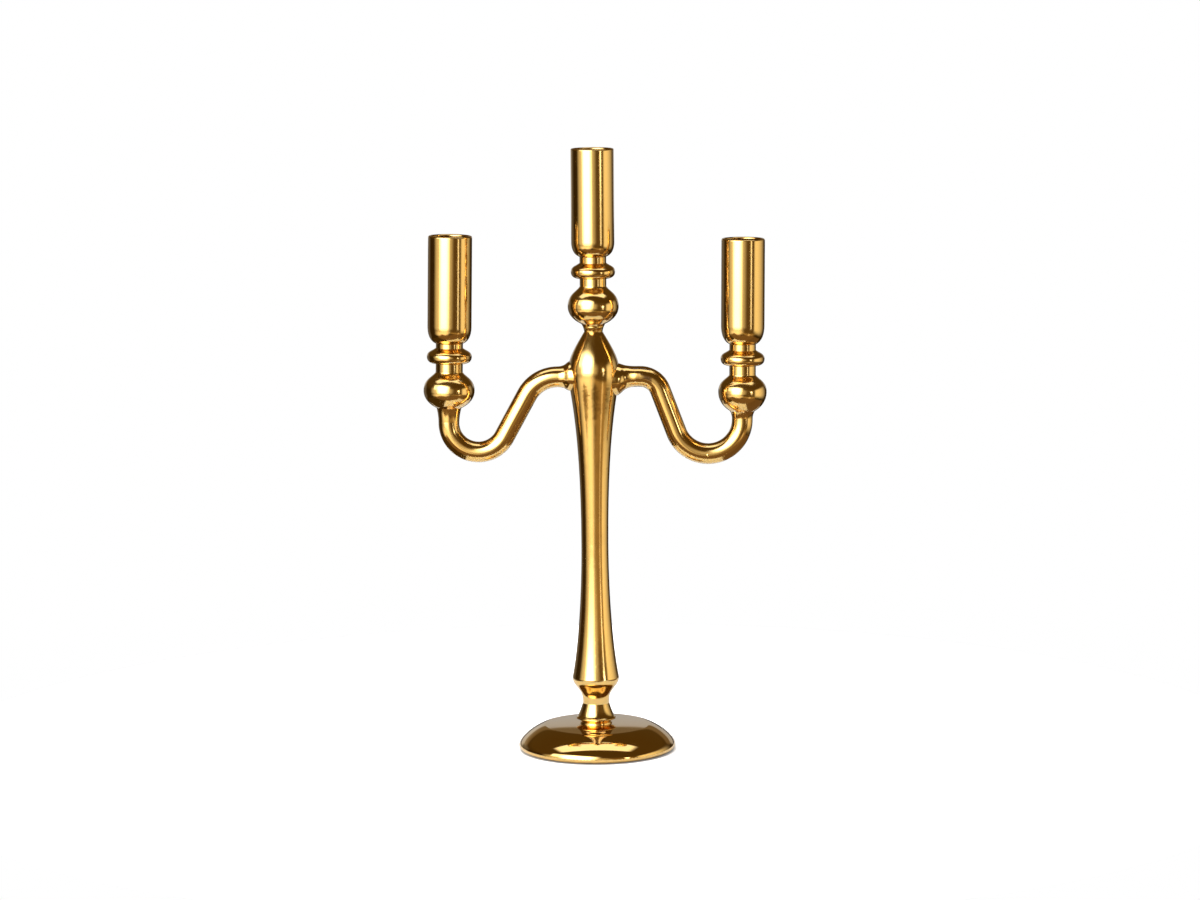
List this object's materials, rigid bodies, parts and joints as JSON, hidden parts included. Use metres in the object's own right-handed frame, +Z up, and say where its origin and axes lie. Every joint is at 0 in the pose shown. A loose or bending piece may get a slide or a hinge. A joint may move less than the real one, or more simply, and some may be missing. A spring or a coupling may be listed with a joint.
{
  "type": "candelabra",
  "caption": "Table candelabra of gold-lustred blown glass: baluster stem on a domed foot, swan-necked side arms and tall tube sockets for taper candles.",
  "frame": {"origin": "on the table, under the middle of the whole outline", "axes": "+Z up, X along the two side arms, -Y towards the viewer of the picture; the arms lie in the plane Y = 0"},
  "size_m": [0.2233, 0.1032, 0.395],
  "materials": {
    "gold_lustre_glass": "flame-worked glass with a fired gold lustre, bright and mirror-like, slightly wavy"
  },
  "bodies": {
    "root": {"foot": "gold_lustre_glass", "foot_seal": "gold_lustre_glass", "foot_collar": "gold_lustre_glass", "stem": "gold_lustre_glass", "left_arm": "gold_lustre_glass", "left_root_seal": "gold_lustre_glass", "left_tip_seal": "gold_lustre_glass", "left_knop": "gold_lustre_glass", "left_neck": "gold_lustre_glass", "left_ring": "gold_lustre_glass", "left_socket": "gold_lustre_glass", "right_arm": "gold_lustre_glass", "right_root_seal": "gold_lustre_glass", "right_tip_seal": "gold_lustre_glass", "right_knop": "gold_lustre_glass", "right_neck": "gold_lustre_glass", "right_ring": "gold_lustre_glass", "right_socket": "gold_lustre_glass", "stem_top_seal": "gold_lustre_glass", "centre_knop": "gold_lustre_glass", "centre_neck": "gold_lustre_glass", "centre_ring": "gold_lustre_glass", "centre_socket": "gold_lustre_glass"}
  },
  "joints": []
}
